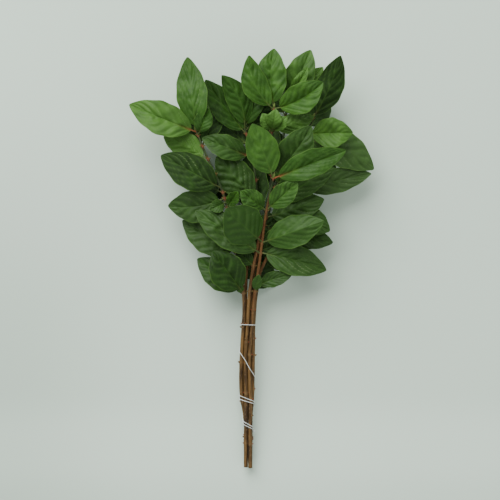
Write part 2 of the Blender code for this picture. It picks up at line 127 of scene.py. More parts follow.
# One leaf: the y at which its petiole leaves the stem, its tip in plan, the height of its middle and
# of its tip, its width, and how much it tilts, folds up at the margins and bends to the side.
Leaf = namedtuple("Leaf", "station x y middle tip width tilt fold bend", defaults=(0.0, 0.2, 0.0))
LEAVES = {
    "left": [
        Leaf(402, -142, 435, 62, 48, 40, 0.1, 0.33, 1),
        Leaf(403, -72, 491, 66, 62, 37, 0.0, -0.15),
        Leaf(398, -47, 430, 63, 72, 22, 0.2, 0.35),
        Leaf(370, -101, 397, 50, 44, 31, -0.1, -0.2, -2),
        Leaf(335, -104, 374, 64, 56, 43, 0.1, 0.2),
        Leaf(323, -96, 314, 48, 36, 40, -0.2, 0.15, 5),
        Leaf(318, -45, 309, 64, 60, 16, 0.1, 0.3),
        Leaf(312, -12, 331, 60, 68, 15),
        Leaf(257, -79, 297, 38, 26, 42, -0.1, 0.2),
        Leaf(209, -42, 260, 52, 56, 43, 0.1, 0.3),
        Leaf(211, -61, 251, 36, 26, 36, 0.0, 0.25),
        Leaf(210, -13, 219, 39, 42, 9),
        Leaf(385, -95, 408, 28, 12, 34, 0.3),
        Leaf(385, -38, 448, 32, 18, 34, -0.3),
        Leaf(352, -84, 362, 30, 10, 34, 0.4),
        Leaf(330, -73, 348, 12, -3, 38, 0.0, 0.0),
        Leaf(290, -62, 300, 24, 4, 36, -0.3),
        Leaf(244, -50, 238, 22, 6, 38, 0.3),
        Leaf(385, -70, 431, 40, 28, 32, 0.2),
    ],
    "front": [
        Leaf(346, 5, 410, 92, 100, 39, 0.0, -0.2),
        Leaf(346, 116, 379, 90, 84, 33, 0.1, 0.35),
        Leaf(308, -9, 331, 74, 80, 25, 0.1, 0.3),
        Leaf(309, 59, 342, 76, 84, 27, -0.1, 0.3),
        Leaf(270, 90, 296, 74, 78, 38, -0.1, -0.33),
        Leaf(271, -26, 310, 78, 100, 51, 0.0, -0.15, 1),
        Leaf(258, 94, 237, 48, 40, 37, 0.1, 0.2, 2),
        Leaf(257, -63, 308, 62, 60, 38, 0.0, 0.15),
        Leaf(218, 52, 231, 44, 46, 19, 0.0, 0.2, 2),
        Leaf(211, 13, 232, 46, 54, 12),
    ],
    "centre": [
        Leaf(262, -31, 276, 54, 58, 24, 0.0, -0.3),
        Leaf(242, -14, 262, 46, 50, 18),
        Leaf(402, 17, 423, 74, 76, 17),
        Leaf(402, 33, 428, 77, 80, 18),
        Leaf(402, 46, 419, 74, 76, 16),
        Leaf(428, 1, 492, 74, 76, 31, 0.0, -0.35, 8),
        Leaf(430, 31, 501, 66, 62, 38, 0.0, 0.2, 4),
        Leaf(429, 89, 460, 76, 80, 36, 0.0, 0.42, -5),
        Leaf(350, 75, 408, 74, 82, 40, 0.2, 0.2, -4),
        Leaf(404, 79, 420, 62, 60, 24, 0.0, -0.2),
        Leaf(258, 58, 281, 40, 34, 34, 0.3),
    ],
    "top": [
        Leaf(436, 75, 500, 54, 52, 35, 0.0, 0.25),
        Leaf(437, 71, 478, 62, 66, 15, 0.0, 0.4),
        Leaf(434, 90, 480, 46, 42, 26),
        Leaf(317, 103, 359, 58, 66, 29, -0.1, -0.2),
        Leaf(300, 91, 322, 46, 50, 36, -0.1, -0.2),
        Leaf(336, 62, 382, 44, 50, 32, -0.2),
        Leaf(420, 18, 484, 28, 16, 34, 0.3),
        Leaf(420, 96, 452, 28, 14, 34, -0.3),
        Leaf(370, 98, 400, 9, -3, 36, 0.0, 0.0),
        Leaf(370, -4, 432, 24, 4, 38, 0.3),
        Leaf(320, 84, 298, 20, 2, 34, 0.3),
        Leaf(290, 66, 272, 26, 8, 34, -0.3),
        Leaf(265, 62, 246, 18, 2, 36, 0.3),
        Leaf(262, -12, 226, 15, 6, 34, 0.2),
        Leaf(350, 54, 310, 22, 6, 38, 0.2),
        Leaf(350, 30, 409, 22, 6, 36, 0.2),
    ],
    "back": [
        Leaf(400, -51, 464, 45, 58, 33, 0.0, 0.2, 1),
        Leaf(406, -31, 469, 56, 68, 31, 0.0, -0.4, -8),
        Leaf(372, -55, 395, 54, 52, 29, 0.15, 0.25),
        Leaf(321, -38, 373, 44, 48, 42, 0.0, -0.2),
        Leaf(406, 13, 466, 46, 44, 28, 0.0, 0.3),
        Leaf(385, -42, 424, 24, 10, 38, 0.4),
        Leaf(345, -45, 330, 10, 2, 34, -0.2),
        Leaf(345, 44, 372, 7, 4, 34, 0.3),
        Leaf(285, -48, 268, 18, 2, 34, 0.2),
        Leaf(285, 45, 297, 22, 8, 28, -0.2),
        Leaf(300, 3, 380, 18, 4, 40, -0.2),
        Leaf(240, 34, 222, 18, 4, 34, 0.3),
        Leaf(282, 20, 234, 14, 6, 38, 0.2),
        Leaf(404, 34, 447, 26, 12, 36, 0.2),
    ],
    "right": [
        Leaf(418, 110, 492, 56, 70, 34, 0.0, -0.2, -3),
        Leaf(400, 125, 401, 60, 58, 36, 0.0, 0.38),
        Leaf(392, 151, 358, 46, 36, 44, 0.0, -0.2, 8),
        Leaf(333, 148, 353, 42, 34, 30, 0.1, 0.2, 1),
        Leaf(309, 98, 284, 46, 42, 32, 0.2, 0.2),
        Leaf(280, 102, 270, 38, 30, 29, -0.1, 0.2, 2),
        Leaf(405, 97, 446, 30, 12, 28, 0.3),
        Leaf(360, 110, 340, 26, 8, 44, -0.3),
    ],
}

# The twine's way round the bundle: (turns, y), where whole turns are at the right, then going
# down by quarters the back, the left and the front. It starts with a closed ring under the leaves.
TWINE_DOWN = [(-0.25, 172.4), (-1.25, 170.8), (-1.5, 142.6), (-2.0, 107.5), (-2.5, 87.0)]
TWINE_DOWN += [(-3.0, 78.0), (-3.5, 59.5), (-4.0, 44.0), (-4.6, 32.0)]
TWINE_BACK = [(-4.0, 41.6), (-3.5, 55.6), (-3.0, 75.4), (-2.5, 82.3), (-2.4, 89.8)]
KNOTS = [(-0.25, 171.6), (-4.0, 42.8), (-2.4, 90.8)]


def stem_ends(name):
    """The y of the stem's cut end and of its tip."""
    return ROUTES[name].start, ROUTES[name].branch[-1][1]


def stem_radius(name, y):
    """The stem's radius at y: it thins from its cut end to its tip."""
    start, end = stem_ends(name)
    share = min(max((y - start) / (end - start), 0.0), 1.0)
    return 0.5 * (CUT_DIAMETER + (TIP_DIAMETER - CUT_DIAMETER) * share**1.5)


def smooth_between(t, span, start, start_slope, end, end_slope):
    """The smooth curve from one point to the next at the share t of their span."""
    return (
        (1 + 2 * t) * (1 - t) ** 2 * start
        + t * (1 - t) ** 2 * span * start_slope
        + t * t * (3 - 2 * t) * end
        + t * t * (t - 1) * span * end_slope
    )


def route_point(name, y):
    """Where the stem's route passes y, as (x, z): a smooth curve through its points."""
    route = ROUTES[name]
    keys = [
        (level, x, BUNDLE_HEIGHT + BUNDLE_TILT * level + z)
        for level, (x, z) in zip((route.start, *BUNDLE_LEVELS), route.bundle)
    ]
    keys += [(py, px, pz) for px, py, pz in route.branch]
    keys = np.array(keys, float)
    slopes = np.gradient(keys[:, 1:], keys[:, 0], axis=0)
    y = min(max(y, keys[0, 0]), keys[-1, 0])
    i = min(int(np.searchsorted(keys[:, 0], y, side="right")) - 1, len(keys) - 2)
    span = keys[i + 1, 0] - keys[i, 0]
    t = (y - keys[i, 0]) / span
    return smooth_between(t, span, keys[i, 1:], slopes[i], keys[i + 1, 1:], slopes[i + 1])


def stems_at(y):
    """Every stem's centre at y as (x, z), with stems that would touch pushed apart."""
    names = list(ROUTES)
    centres = np.array([route_point(name, y) for name in names])
    radii = [stem_radius(name, y) for name in names]
    for _ in range(PUSH_ROUNDS):
        for i in range(len(names)):
            for j in range(i):
                apart = centres[i] - centres[j]
                distance = np.linalg.norm(apart)
                short = radii[i] + radii[j] + BUNDLE_GAP - distance
                if short > 0:
                    centres[i] += 0.5 * short * apart / distance
                    centres[j] -= 0.5 * short * apart / distance
    return dict(zip(names, centres))


def stem_line(name):
    """The stem's centre line from its cut end to its tip, as rows of (x, y, z)."""
    start, end = stem_ends(name)
    first = STEM_STEP * math.ceil((start + LEAST_STEP) / STEM_STEP)
    rows = []
    for y in [start, *np.arange(first, end - LEAST_STEP, STEM_STEP), end]:
        x, z = stems_at(y)[name]
        rows.append((x, y, z))
    return np.array(rows)


def point_on(line, y):
    """The point of a stem's centre line at y."""
    return np.array([np.interp(y, line[:, 1], line[:, 0]), y, np.interp(y, line[:, 1], line[:, 2])])


class Blade:
    """A leaf laid out in plan, whose height follows a few numbers.

    t runs from the stem's middle line to the tip, and v from one margin to the other, -1 to 1.
    shape holds the heights at a third, two thirds and all of the length, the tilt and the twist.
    """

    def __init__(self, stem, leaf, line):
        self.stem = stem
        self.leaf = leaf
        self.base = point_on(line, leaf.station)
        reach = np.array([leaf.x, leaf.y]) - self.base[:2]
        self.length = float(np.linalg.norm(reach))
        self.along = reach / self.length
        self.across = np.array([-self.along[1], self.along[0]])
        self.start = min(PETIOLE_LENGTH / self.length, PETIOLE_SHARE)
        rise = leaf.middle - 0.5 * (self.base[2] + leaf.tip)
        t = np.array([1 / 3, 2 / 3])
        thirds = self.base[2] + (leaf.tip - self.base[2]) * t + 4 * rise * t * (1 - t)
        self.shape = np.array([*thirds, leaf.tip, leaf.tilt, 0.0])
        self.phase = 0.7 * leaf.x + 0.4 * leaf.y

    def along_blade(self, t):
        """The share of the blade that lies before t, 0 on the petiole and 1 at the tip."""
        return np.clip((t - self.start) / (1 - self.start), 0.0, 1.0)

    def half_width(self, t):
        """Half of the plan width: the petiole's, then a pointed oval's, widest below its middle."""
        s = self.along_blade(t)
        oval = np.sin(math.pi * s**WIDEST_AT) ** (OVAL_POWERS[0] + OVAL_POWERS[1] * s)
        return np.maximum(0.5 * self.leaf.width * oval, 0.5 * PETIOLE_WIDTH * (1 - s))

    def plan(self, t, v):
        """The plan position (x, y) of (t, v)."""
        aside = self.leaf.bend * 4 * t * (1 - t) + v * self.half_width(t)
        return self.base[:2] + (self.length * t)[:, None] * self.along + aside[:, None] * self.across

    def from_plan(self, points):
        """The (t, v) of plan positions."""
        offset = points - self.base[:2]
        t = offset @ self.along / self.length
        aside = offset @ self.across - self.leaf.bend * 4 * t * (1 - t)
        return t, aside / (self.half_width(t) + 1e-6)

    def weights(self, t, v):
        """How much each number of shape adds to the height at (t, v)."""
        side = v * self.half_width(t)
        return np.stack(
            [
                13.5 * t * (t - 2 / 3) * (t - 1),
                -13.5 * t * (t - 1 / 3) * (t - 1),
                4.5 * t * (t - 1 / 3) * (t - 2 / 3),
                side,
                side * (2 * t - 1),
            ],
            axis=-1,
        )

    def fixed_height(self, t, v):
        """The rest of the height: the base, the fold and the wavy margin."""
        s = self.along_blade(t)
        base = self.base[2] * -4.5 * (t - 1 / 3) * (t - 2 / 3) * (t - 1)
        fold = self.leaf.fold * np.abs(v) * self.half_width(t)
        wave = EDGE_WAVE * v * v * np.sin(math.pi * s) * np.sin(10.0 * s + self.phase + 1.6 * v)
        return base + fold + wave

    def surface(self, t, v):
        """Points of the leaf's middle surface."""
        height = self.fixed_height(t, v) + self.weights(t, v) @ self.shape
        return np.concatenate([self.plan(t, v), height[:, None]], axis=1)


def blade_samples():
    """The (t, v) at which a leaf is tested against its neighbours."""
    t, v = np.meshgrid(np.linspace(0.0, 1.0, 13), np.linspace(-1.0, 1.0, 5), indexing="ij")
    return t.ravel(), v.ravel()


def where_over(upper, lower):
    """The places where one leaf lies over another in plan, as rows of (t, v) on each."""
    own = np.stack(blade_samples(), axis=1)
    first = np.concatenate([own, np.stack(upper.from_plan(lower.plan(*own.T)), axis=1)])
    second = np.concatenate([np.stack(lower.from_plan(upper.plan(*own.T)), axis=1), own])
    kept = np.ones(len(first), bool)
    for t, v in (first.T, second.T):
        kept &= (t >= 0) & (t <= 1) & (np.abs(v) <= 1.001)
    if upper.stem == lower.stem:
        kept &= (first[:, 0] > BESIDE_SISTER) & (second[:, 0] > BESIDE_SISTER)
    return first[kept], second[kept]


def near_stem(blade, name, line):
    """Where a stem passes a leaf in plan: (t, v) on the leaf, the stem's height and its radius."""
    dense = np.array([point_on(line, y) for y in np.arange(line[0, 1], line[-1, 1], STEM_SAMPLES)])
    radius = np.array([stem_radius(name, y) for y in dense[:, 1]])
    t, v = blade.from_plan(dense[:, :2])
    first = BESIDE_STEM if name == blade.stem else 0.0
    near = (t > first) & (t < 1) & (np.abs(v) < 1 + radius / (blade.half_width(t) + 0.1))
    return t[near], np.clip(v[near], -1, 1), dense[near, 2], radius[near]


def clearances(blades, lines):
    """Every clearance that has to hold, as arrays: the upper and the lower leaf's index, their
    weights, and the least difference of the heights that their numbers make. One past the last
    leaf's index stands for what can't move: the surface and the stems."""
    fixed = len(blades)
    rows = []
    t, v = blade_samples()
    for i, upper in enumerate(blades):
        weights = upper.weights(t, v)
        rows.append((i, fixed, weights, 0 * weights, LOWEST_MIDDLE - upper.fixed_height(t, v)))
        for j in range(i + 1, len(blades)):
            lower = blades[j]
            on_upper, on_lower = where_over(upper, lower)
            least = LEAF_CLEAR - upper.fixed_height(*on_upper.T) + lower.fixed_height(*on_lower.T)
            rows.append((i, j, upper.weights(*on_upper.T), lower.weights(*on_lower.T), least))
        for name, line in lines.items():
            at, across, height, radius = near_stem(upper, name, line)
            weights, still = upper.weights(at, across), upper.fixed_height(at, across)
            if len(at) and upper.leaf.middle > height.mean():
                rows.append((i, fixed, weights, 0 * weights, height + radius + STEM_CLEAR - still))
            elif len(at):
                rows.append((fixed, i, 0 * weights, weights, still + radius + STEM_CLEAR - height))
    upper_index = np.concatenate([np.full(len(row[4]), row[0]) for row in rows])
    lower_index = np.concatenate([np.full(len(row[4]), row[1]) for row in rows])
    return (upper_index, lower_index, *(np.concatenate([row[k] for row in rows]) for k in (2, 3, 4)))


def bend_clear(blades, lines, rounds=900):
    """Bends the leaves up and down until each lies clear of the leaves, the stems and the surface."""
    blades = sorted(blades, key=lambda blade: -blade.leaf.middle)
    upper, lower, upper_weights, lower_weights, least = clearances(blades, lines)
    give = np.array([1.0, 1.0, 1.0, TILT_GIVE, TILT_GIVE])
    squares = (upper_weights**2 * give).sum(axis=1) + (lower_weights**2 * give).sum(axis=1)
    shapes = np.array([blade.shape for blade in blades] + [np.zeros(5)])
    wanted = shapes.copy()
    for turn in range(rounds):
        apart = (upper_weights * shapes[upper]).sum(axis=1)
        apart -= (lower_weights * shapes[lower]).sum(axis=1)
        hit = least > apart
        if not hit.any():
            break
        push = ((least - apart)[hit] / squares[hit])[:, None] * give
        change = np.zeros_like(shapes)
        count = np.zeros(len(shapes))
        np.add.at(change, upper[hit], push * upper_weights[hit])
        np.add.at(change, lower[hit], -push * lower_weights[hit])
        np.add.at(count, upper[hit], 1)
        np.add.at(count, lower[hit], 1)
        change[-1] = 0
        shapes += OVERSHOOT * change / np.maximum(count, 1)[:, None]
        if turn < rounds // 2:
            shapes += RETURN * (wanted - shapes)
    for blade, shape in zip(blades, shapes):
        blade.shape = shape


def twine_point(lines, turns, y, outward=0.0):
    """A point of the twine's middle line at y, on the hull of the stems, some turns round them."""
    centres = {name: point_on(line, y)[[0, 2]] for name, line in lines.items()}
    middle = np.mean(list(centres.values()), axis=0)
    loop = []
    for angle in np.radians(np.arange(0, 360, 10)):
        out = np.array([math.cos(angle), math.sin(angle)])
        name = max(centres, key=lambda stem: centres[stem] @ out + stem_radius(stem, y))
        reach = stem_radius(name, y) + TWINE_CLEAR + 0.5 * TWINE_DIAMETER + outward
        loop.append(centres[name] + reach * out - middle)
    loop = np.array(loop)
    around = np.arctan2(loop[:, 1], loop[:, 0]) / (2 * math.pi)
    x, z = (np.interp(turns, around, loop[:, k], period=1.0) for k in (0, 1))
    return np.array([middle[0] + x, y, middle[1] + z])


def twine_line(lines, keys):
    """The twine's middle line through its keys."""
    turns = np.array([key[0] for key in keys])
    heights = np.array([key[1] for key in keys])
    order = np.argsort(turns)
    count = round(abs(turns[-1] - turns[0]) / TWINE_STEP)
    path = np.linspace(turns[0], turns[-1], count + 1)
    levels = np.interp(path, turns[order], heights[order])
    return np.array([twine_point(lines, turn, level) for turn, level in zip(path, levels)])


# Fine leaves
ROWS_ALONG = 76
CROWDING = 0.35  # how far the rows crowd towards both ends of a blade
BLADE_END = 0.995  # the last row lies just short of the tip, so that it has some width
HALF_COLUMNS = (0.0, 0.025, 0.06, 0.11, 0.18, 0.27, 0.37, 0.48, 0.59, 0.7, 0.8, 0.88, 0.94, 0.975, 1.0)
FINE_THICKNESS = 0.42
PRESSED_THICKNESS = 0.3  # the least height of a blade that is pressed flat
LOWEST_UNDERSIDE = 0.05
KEEL = 0.8
MIDRIB_WIDTH = 0.9
MIDRIB_DEPTH = 0.5
BOW = 0.9  # how far each half bows up, as a share of its fold
NORMAL_STEP = 2e-3

# Side veins, as shares of the blade's length, and the depth of the valleys that they lie in
VEIN_FIRST = 0.03
VEIN_SPACING = 0.19
VEIN_OFFSET = 0.4  # how far the veins of one half are shifted, as a share of their spacing
VEIN_SWAY = 0.2
VEIN_DEPTH = 1.9
VEIN_ROUNDING = 1.2
VEIN_LEVEL = 0.55
VEIN_TINT_WIDTH = 0.3  # of half the spacing

# Puckers: their heights and sizes, and how far their pattern is drawn out of shape
PUCKER_HEIGHT = 1.4
PUCKER_SIZE = 13.0
SMALL_PUCKER_HEIGHT = 1.0
SMALL_PUCKER_SIZE = 6.0
DRIFT = 3.0
DRIFT_SIZE = 8.0
RIPPLE_HEIGHT = 0.4
MARGIN_WOBBLE = 0.025  # as a share of the half width

# Petioles
PETIOLE_SIDES = 10
PETIOLE_ROWS = 14
PETIOLE_RADIUS = 1.0
PETIOLE_FOOT = 0.35  # how much it widens where it joins the stem
PETIOLE_RUN = 0.06  # how far it runs on under the blade, as a share of the leaf's length

# Fine stems
FINE_SIDES = 18
FINE_STEP = 1.6
NODE_WIDTH = 1.9
NODE_FOOT_WIDTH = 5.0
NODE_FOOT = 0.12
OLD_SWELL = 0.3
YOUNG_SWELL = 0.2
SCAR_WIDTH = 0.9
BARE_NODE_STEPS = (47, 54, 61)  # between the leafless nodes of the lower stems, in turn
NODES_APART = 6  # leaves whose stations are nearer than this share a node
RIDGE_HEIGHT = 0.09
RIDGE_SIZE = (14, 1.6)
KNOB_HEIGHT = 0.12
KNOB_SIZE = (3.5, 2.0)
CUT_RINGS = (0.02, 0.2, 0.5, 0.75, 0.9, 1.0)
CUT_DOME = 0.25
BUD_SIDES = 8
BUD_ROWS = 8
YOUNG_FROM = 200.0  # above this y the stems are this year's shoots
# Where a stem turns from brown to a dark green, the shoots' own green darkened as painted shade between
# the leaves, as (y, y)
SHADED_GREEN_FROM = {"front": (305.0, 335.0), "centre": (268.0, 300.0), "left": (250.0, 290.0)}
SHADED_GREEN_ELSEWHERE = (265.0, 310.0)

# Short stubs of side shoots that were cut off: (stem, y, the way they point as (x, z)).
STUBS = [
    ("left", 168.0, (-1.0, 0.2)),
    ("right", 134.0, (1.0, 0.3)),
    ("left", 126.0, (-1.0, 0.5)),
    ("left", 35.0, (-1.0, 0.1)),
    ("centre", 154.0, (-0.4, 1.0)),
    ("front", 61.0, (0.8, 0.6)),
]
STUB_SIDES = 9
STUB_RADII = (1.5, 1.25, 0.95, 0.8)
STUB_SHARES = (0.0, 0.45, 0.8, 1.0)
STUB_REACH = 1.9

# Fine twine: two strands, whose offset and radius are shares of the twine's radius
TWINE_RADIUS = 0.38 * TWINE_DIAMETER
KNOT_TWINE_RADIUS = 0.42
STRAND_STEP = 0.45
STRAND_SIDES = 6
STRAND_OFFSET = 0.46
STRAND_RADIUS = 0.58
LAY_LENGTH = 3.4
KNOT_OUT = 0.7
KNOT_SCALE = (0.5, 0.5, 0.4)
LOOSE_LENGTH = 6.5
LOOSE_SAG = 2.2
LOOSE_WAYS = [(1.0, 0.4, 0.6), (-0.8, 0.7, 0.5), (0.5, -1.0, 0.4)]  # one for each knot

# What a leaf looks like, in the order of LEAVES: its tone from 0, old and dark, to 1, young and
# bright, partly its own green and partly painted shade and painted light, set to how bright it
# looks, its grey cast of painted sheen, how deep its side veins lie, how far along the leaf they
# reach while they run out to the margin, and how red its petiole is. A leaf past the end of its list
# is hidden from above and has the look that the defaults give, whose dark tone paints shade into
# the hollows between the leaves.
Look = namedtuple("Look", "tone haze groove reach red", defaults=(0.12, 0.1, 0.6, 0.3, 0.12))
LOOKS = {
    "left": [
        Look(0.84, 0.5, 1.2, 0.26, 0.9),
        Look(0.6, 0.1, 1.0, 0.42),
        Look(0.42, 0.1, 0.4),
        Look(0.92, 0.45, 1.1, 0.36),
        Look(0.1, 0.08, 1.1, 0.36),
        Look(0.3, 0.5, 1.0),
        Look(0.42, 0.5, 0.5),
        Look(0.7, 0.0, 0.3),
        Look(0.3, 0.45, 1.1),
        Look(0.18, 0.05, 0.7),
        Look(0.28, 0.2, 0.8),
        Look(0.35, 0.2, 0.3),
    ],
    "front": [
        Look(0.7, 0.12, 0.6),
        Look(0.56, 0.05, 0.8, 0.45, 1.0),
        Look(0.58, 0.25, 1.1),
        Look(0.62, 0.3, 1.1),
        Look(0.44, 0.35, 0.9, 0.36),
        Look(0.46, 0.3, 1.0),
        Look(0.4, 0.5, 1.4, 0.4),
        Look(0.28, 0.4, 1.3),
        Look(0.25, 0.25, 0.5),
        Look(0.5, 0.4, 0.3),
    ],
    "centre": [
        Look(0.22, 0.3, 0.8),
        Look(0.12, 0.1, 0.4),
        *[Look(1.0, 0.6, 0.3)] * 3,
        Look(0.6, 0.04, 0.6),
        Look(0.66, 0.05, 0.9),
        Look(0.66, 0.1, 0.9),
        Look(0.34, 0.35, 0.8),
        Look(0.8, 0.5, 0.8),
    ],
    "top": [
        Look(0.66, 0.35, 0.6),
        Look(0.8, 0.35, 0.4),
        Look(1.0, 0.5, 0.6),
        Look(0.44, 0.5, 1.0),
        Look(0.4, 0.4, 1.0),
        Look(0.5, 0.3, 0.6),
        Look(0.3, 0.3),
        Look(0.36, 0.35),
    ],
    "back": [
        Look(0.28, 0.05, 0.8),
        Look(0.5, 0.1, 0.8),
        Look(0.32, 0.35, 0.9, 0.3, 0.9),
        Look(0.3, 0.4, 1.2),
        Look(0.4, 0.05, 0.5),
    ],
    "right": [
        Look(0.08, 0.0, 0.6),
        Look(0.82, 0.4, 0.8),
        Look(0.46, 0.8, 1.1),
        Look(0.38, 0.75, 1.1),
        Look(0.36, 0.3, 0.8),
        Look(0.3, 0.25, 0.8),
        Look(0.42, 0.45),
        Look(0.3, 0.3),
    ],
}

# A piece's materials by their place in its list. The leafy stems have both, the twine has its own.
BARK, LEAF = 0, 1
TWINE = 0
NOTHING = (0, 0, 0, 0)  # for a material that reads no values

# Colours
# Leaf colours by tone; the darkest end is also painted shade on the leaves deep in the bunch
LEAF_OLD_AND_SHADED = (0.0055, 0.019, 0.0022)
LEAF_GROWN = (0.017, 0.057, 0.0048)
LEAF_YOUNG = (0.053, 0.142, 0.014)
# A grey cast of painted sheen
LEAF_SHEEN_HAZE = (0.048, 0.085, 0.030)
LEAF_VEIN = (0.09, 0.18, 0.045)
LEAF_MIDRIB = (0.08, 0.18, 0.03)
LEAF_RIM = (0.070, 0.15, 0.022)
LEAF_SPECK = (0.05, 0.11, 0.012)
LEAF_UNDERSIDE = (0.13, 0.19, 0.08)
LEAF_RED = (0.22, 0.05, 0.025)
BARK_DARK = (0.024, 0.0115, 0.003)
BARK_LIGHT = (0.128, 0.067, 0.016)
BARK_FLECK = (0.22, 0.135, 0.06)
BARK_YOUNG = (0.105, 0.036, 0.007)
BARK_SCAR = (0.20, 0.13, 0.06)
# The upper shoots' own green, darkened as painted shade where they lie between the leaves
SHADED_SHOOT_DARK = (0.009, 0.019, 0.0035)
SHADED_SHOOT_LIGHT = (0.023, 0.043, 0.008)
SHOOT_NODE = (0.15, 0.022, 0.008)
CUT_PITH = (0.28, 0.17, 0.08)
CUT_WOOD = (0.52, 0.42, 0.24)
CUT_RIM = (0.09, 0.10, 0.03)
TWINE_SHADE = (0.55, 0.60, 0.58)
TWINE_WHITE = (0.78, 0.82, 0.80)
FLOOR_DARK = (0.515, 0.625, 0.53)
FLOOR_LIGHT = (0.53, 0.64, 0.545)
ROOM = (0.95, 1.0, 0.97, 1.0)

# Light and camera, in metres and watts unless it says otherwise
FLOOR_REACH = 3.0
ROOM_STRENGTH = 0.70
LIGHTS = [
    ("key", (-0.8, 1.8, 1.9), 2.5, 158.0),
    ("fill", (1.3, -1.3, 2.2), 2.0, 10.0),
]
SENSOR_WIDTH = 36.0  # mm
CAMERA_DISTANCE = 3.45
SEEN_WIDTH = 0.5966
SEEN_HEIGHT = 0.05  # the level that is SEEN_WIDTH wide in the picture
SEEN_MIDDLE = (-0.0021, 0.0116)


def smooth_step(value, low, high):
    share = np.clip((value - low) / (high - low), 0.0, 1.0)
    return share * share * (3 - 2 * share)


def window(value, from_low, from_high, to_low, to_high):
    """0, rising to 1 and falling to 0 again."""
    return smooth_step(value, from_low, from_high) * (1 - smooth_step(value, to_low, to_high))


def hump(value, width):
    """1 where the value is 0, falling off to both sides over the width."""
    return np.exp(-((value / width) ** 2))


def noise(points, size, seed=0):
    """Smooth noise from -1 to 1 at points with any number of columns, with features of that size."""
    cell = np.asarray(points, float) / size + 17.31 * seed
    low = np.floor(cell).astype(int)
    part = cell - low
    part = part * part * (3 - 2 * part)
    primes = np.array([127.1, 311.7, 74.7])[: cell.shape[1]]
    total = np.zeros(len(cell))
    for corner in np.ndindex(*(2,) * cell.shape[1]):
        share = np.prod(np.where(np.array(corner), part, 1 - part), axis=1)
        value = np.sin((low + corner) @ primes) * 43758.5453
        total += share * (value - np.floor(value))
    return 2 * total - 1


def angles_round(sides):
    """The angle of each corner of a tube's section."""
    return 2 * math.pi * np.arange(sides) / sides


def frames_along(line):
    """Two directions square to a line at each of its points, turning as little as possible."""
    tangents = np.gradient(line, axis=0)
    tangents /= np.linalg.norm(tangents, axis=1)[:, None]
    slanting = (0.3, 0.5, 0.8)
    normal = np.cross(tangents[0], slanting)
    normals = []
    for tangent in tangents:
        normal = normal - (normal @ tangent) * tangent
        normal /= np.linalg.norm(normal)
        normals.append(normal)
    normals = np.array(normals)
    return normals, np.cross(tangents, normals)


def grid_faces(rows, columns, closed=False):
    """Quads of a grid of points. A closed grid's last column joins its first."""
    across = columns if closed else columns - 1
    row, column = np.meshgrid(np.arange(rows - 1), np.arange(across), indexing="ij")
    a = (row * columns + column).ravel()
    b = (row * columns + (column + 1) % columns).ravel()
    return np.stack([a, b, b + columns, a + columns], axis=1)


def grid_rim(rows, columns):
    """The indices of a grid's outer points, once round."""
    rim = [row * columns for row in range(rows)]
    rim += [(rows - 1) * columns + column for column in range(1, columns)]
    rim += [row * columns + columns - 1 for row in reversed(range(rows - 1))]
    rim += range(columns - 2, 0, -1)
    return np.array(rim)


def put_in_scene(name, data):
    obj = bpy.data.objects.new(name, data)
    bpy.context.scene.collection.objects.link(obj)
    return obj


class Piece:
    """Collects the points and faces of one visible piece. Each point has two sets of four numbers
    for its material, place and look. On bark they are the age, the share of the radius, the scar
    and the cut face, and nothing, the green, which turns the upper shoots a dark green that is partly
    painted shade, the node and nothing. On a leaf they are nothing, the way across, the vein and the
    underside, and the tone, partly painted shade and light, the grey cast of painted sheen, the red
    and the midrib."""

    def __init__(self, name):
        self.name = name
        self.points, self.places, self.looks = [], [], []
        self.faces, self.kinds = [], []
        self.count = 0

    def add(self, points, faces, kind, place, look):
        count = len(points)
        self.points.append(points)
        self.places.append(np.stack([np.broadcast_to(value, count) for value in place], axis=1))
        self.looks.append(np.stack([np.broadcast_to(value, count) for value in look], axis=1))
        self.faces += [tuple(int(k) + self.count for k in face) for face in faces]
        self.kinds += [kind] * len(faces)
        self.count += count

    def build(self, materials, node):
        mesh = bpy.data.meshes.new(self.name)
        points = (np.concatenate(self.points) - (*MIDDLE, 0.0)) * MM
        mesh.from_pydata(points.tolist(), [], self.faces)
        for material in materials:
            mesh.materials.append(material)
        mesh.polygons.foreach_set("material_index", self.kinds)
        for name, values in (("place", self.places), ("look", self.looks)):
            layer = mesh.attributes.new(name, "FLOAT_COLOR", "POINT")
            layer.data.foreach_set("color", np.concatenate(values).astype(np.float32).ravel())
        mesh.shade_smooth()
        mesh.validate()
        obj = put_in_scene(self.name, mesh)
        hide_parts(node)
        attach(obj, "root")


def add_tube(piece, line, radii, sides, kind, place=NOTHING, look=NOTHING, ridges=0.0):
    """A closed tube. ridges adds to the radius at each point, as rows along by columns around."""
    first, second = frames_along(line)
    angles = angles_round(sides)
    radius = np.broadcast_to(np.asarray(radii, float)[:, None], (len(line), sides)) + ridges
    cosine, sine = np.cos(angles)[:, None], np.sin(angles)[:, None]
    out = cosine * first[:, None] + sine * second[:, None]
    points = (line[:, None] + radius[:, :, None] * out).reshape(-1, 3)
    start_cap = range(sides)[::-1]
    end_cap = range(len(points) - sides, len(points))
    faces = [*grid_faces(len(line), sides, closed=True), start_cap, end_cap]
    place, look = (
        [np.repeat(value, sides) if np.size(value) == len(line) else value for value in values]
        for values in (place, look)
    )
    piece.add(points, faces, kind, place, look)


def vein_shares(look, s, v):
    """How far each place lies between two side veins, from 0 on a vein to 1 halfway, and how
    strong the veins are there: they begin a little above the blade's base."""
    across = np.abs(v)
    place = (s - VEIN_FIRST - look.reach * across * (1 + 0.4 * across)) / VEIN_SPACING
    place = place + np.where(v > 0, VEIN_OFFSET, 0.0)
    place = place + VEIN_SWAY * np.sin(7 * s + 4 * v + 40 * look.tone)
    share = place - np.floor(place)
    return 1 - np.abs(2 * share - 1), smooth_step(place, -1.3, -0.2)


